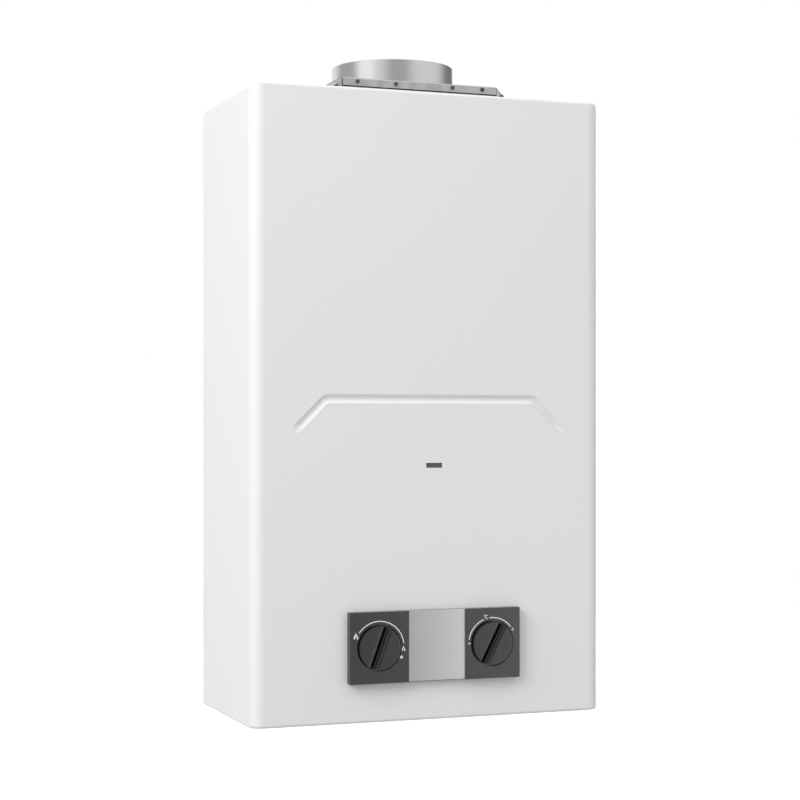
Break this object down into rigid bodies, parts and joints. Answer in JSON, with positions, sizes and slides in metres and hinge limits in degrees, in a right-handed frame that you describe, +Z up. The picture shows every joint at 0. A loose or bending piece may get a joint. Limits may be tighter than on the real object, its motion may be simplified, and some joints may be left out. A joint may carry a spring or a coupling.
{
  "type": "gas water heater",
  "caption": "Wall-hung instantaneous gas water heater: white casing, control panel with round knobs, draught hood and round flue collar on top.",
  "frame": {"origin": "midway between the two wall hook holes, on the wall plane", "axes": "+Z up, +Y into the wall, +X to the right for someone who faces the front"},
  "size_m": [0.329, 0.1761, 0.5947],
  "materials": {
    "white_enamel": "smooth gloss white stove enamel",
    "zinc_sheet": "galvanised sheet steel",
    "collar_metal": "bright spun aluminium",
    "copper": "bare and tinned copper",
    "brass": "machined brass",
    "dark_plastic": "fine-grained dark grey moulding",
    "knob_plastic": "satin dark grey moulding",
    "silver_plate": "satin silver",
    "window_glass": "clear heat-proof glass",
    "cast_aluminium": "die-cast, slightly rough",
    "water_brass": "cast brass",
    "steel": "zinc-plated steel",
    "stainless": "plain stainless steel",
    "ceramic": "glazed white ceramic",
    "black_plastic": "black moulding",
    "grey_plastic": "mid grey moulding",
    "rubber": "reinforced rubber sheet",
    "cell_metal": "plain metal jacket",
    "cable": "insulated wire"
  },
  "bodies": {
    "heater": {"front_casing": "white_enamel", "casing_screws": "steel", "sight_window": "window_glass", "back_plate": "zinc_sheet", "chamber_brackets": "zinc_sheet", "control_panel": "dark_plastic", "panel_centre_plate": "silver_plate", "panel_screws": "steel", "hood_shell": "zinc_sheet", "hood_front_panel": "zinc_sheet", "hood_top_plate": "zinc_sheet", "hood_screws": "steel", "flue_collar": "collar_metal", "exchanger_jacket": "copper", "exchanger_fins": "copper", "exchanger_tubes": "copper", "jacket_coil": "copper", "cold_feed_pipe": "copper", "feed_nut": "brass", "hot_outlet_pipe": "copper", "overheat_thermostat": "steel", "spillage_thermostat": "steel", "burner_bars": "stainless", "burner_frame": "stainless", "gas_manifold": "steel", "injectors": "brass", "spark_electrode": "ceramic", "flame_sensor": "ceramic", "electrode_bracket": "steel", "gas_valve_body": "cast_aluminium", "gas_valve_cap": "brass", "return_spring": "steel", "gas_solenoid": "steel", "water_valve_body": "water_brass", "water_valve_cover": "water_brass", "water_valve_screws": "steel", "diaphragm": "rubber", "drain_plug": "brass", "gas_inlet_nipple": "brass", "cold_inlet_nipple": "brass", "hot_outlet_nipple": "brass", "connection_plate": "zinc_sheet", "connection_nuts": "brass", "inlet_filter": "stainless", "microswitch": "black_plastic", "battery_box": "grey_plastic", "batteries": "cell_metal", "ignition_box": "black_plastic", "wiring": "cable"},
    "power_control": {"power_knob": "knob_plastic", "power_spindle": "steel", "gas_plug": "brass"},
    "temperature_control": {"temperature_knob": "knob_plastic", "temperature_spindle": "steel", "flow_regulator": "brass"},
    "push_assembly": {"push_rod": "steel", "diaphragm_plate": "steel", "gas_valve_disc": "rubber"},
    "switch_blade": {"switch_lever": "steel"},
    "battery_door": {"battery_lid": "grey_plastic"}
  },
  "joints": [
    {"name": "power_turn", "type": "hinge", "parent": "heater", "child": "power_control", "pos_m": [-0.0513, -0.1761, -0.4544], "axis": [0, -1, 0], "range_deg": [-94, 84]},
    {"name": "temperature_turn", "type": "hinge", "parent": "heater", "child": "temperature_control", "pos_m": [0.0547, -0.1761, -0.4544], "axis": [0, -1, 0], "range_deg": [-32, 117]},
    {"name": "push_slide", "type": "slide", "parent": "heater", "child": "push_assembly", "axis": [-1, 0, 0], "range_m": [0, 0.004], "stiffness_N_per_m": 600, "springref_m": -0.004, "deforming": ["return_spring"]},
    {"name": "switch_turn", "type": "hinge", "parent": "heater", "child": "switch_blade", "pos_m": [-0.0065, -0.127, -0.4544], "axis": [0, 0, 1], "range_deg": [0, 23]},
    {"name": "battery_lid_turn", "type": "hinge", "parent": "heater", "child": "battery_door", "pos_m": [0.1444, -0.0855, -0.5161], "axis": [0, -1, 0], "range_deg": [0, 85]}
  ],
  "couplings": [
    {"joint": "switch_turn", "follows": "push_slide", "rad_per_m": 100}
  ]
}
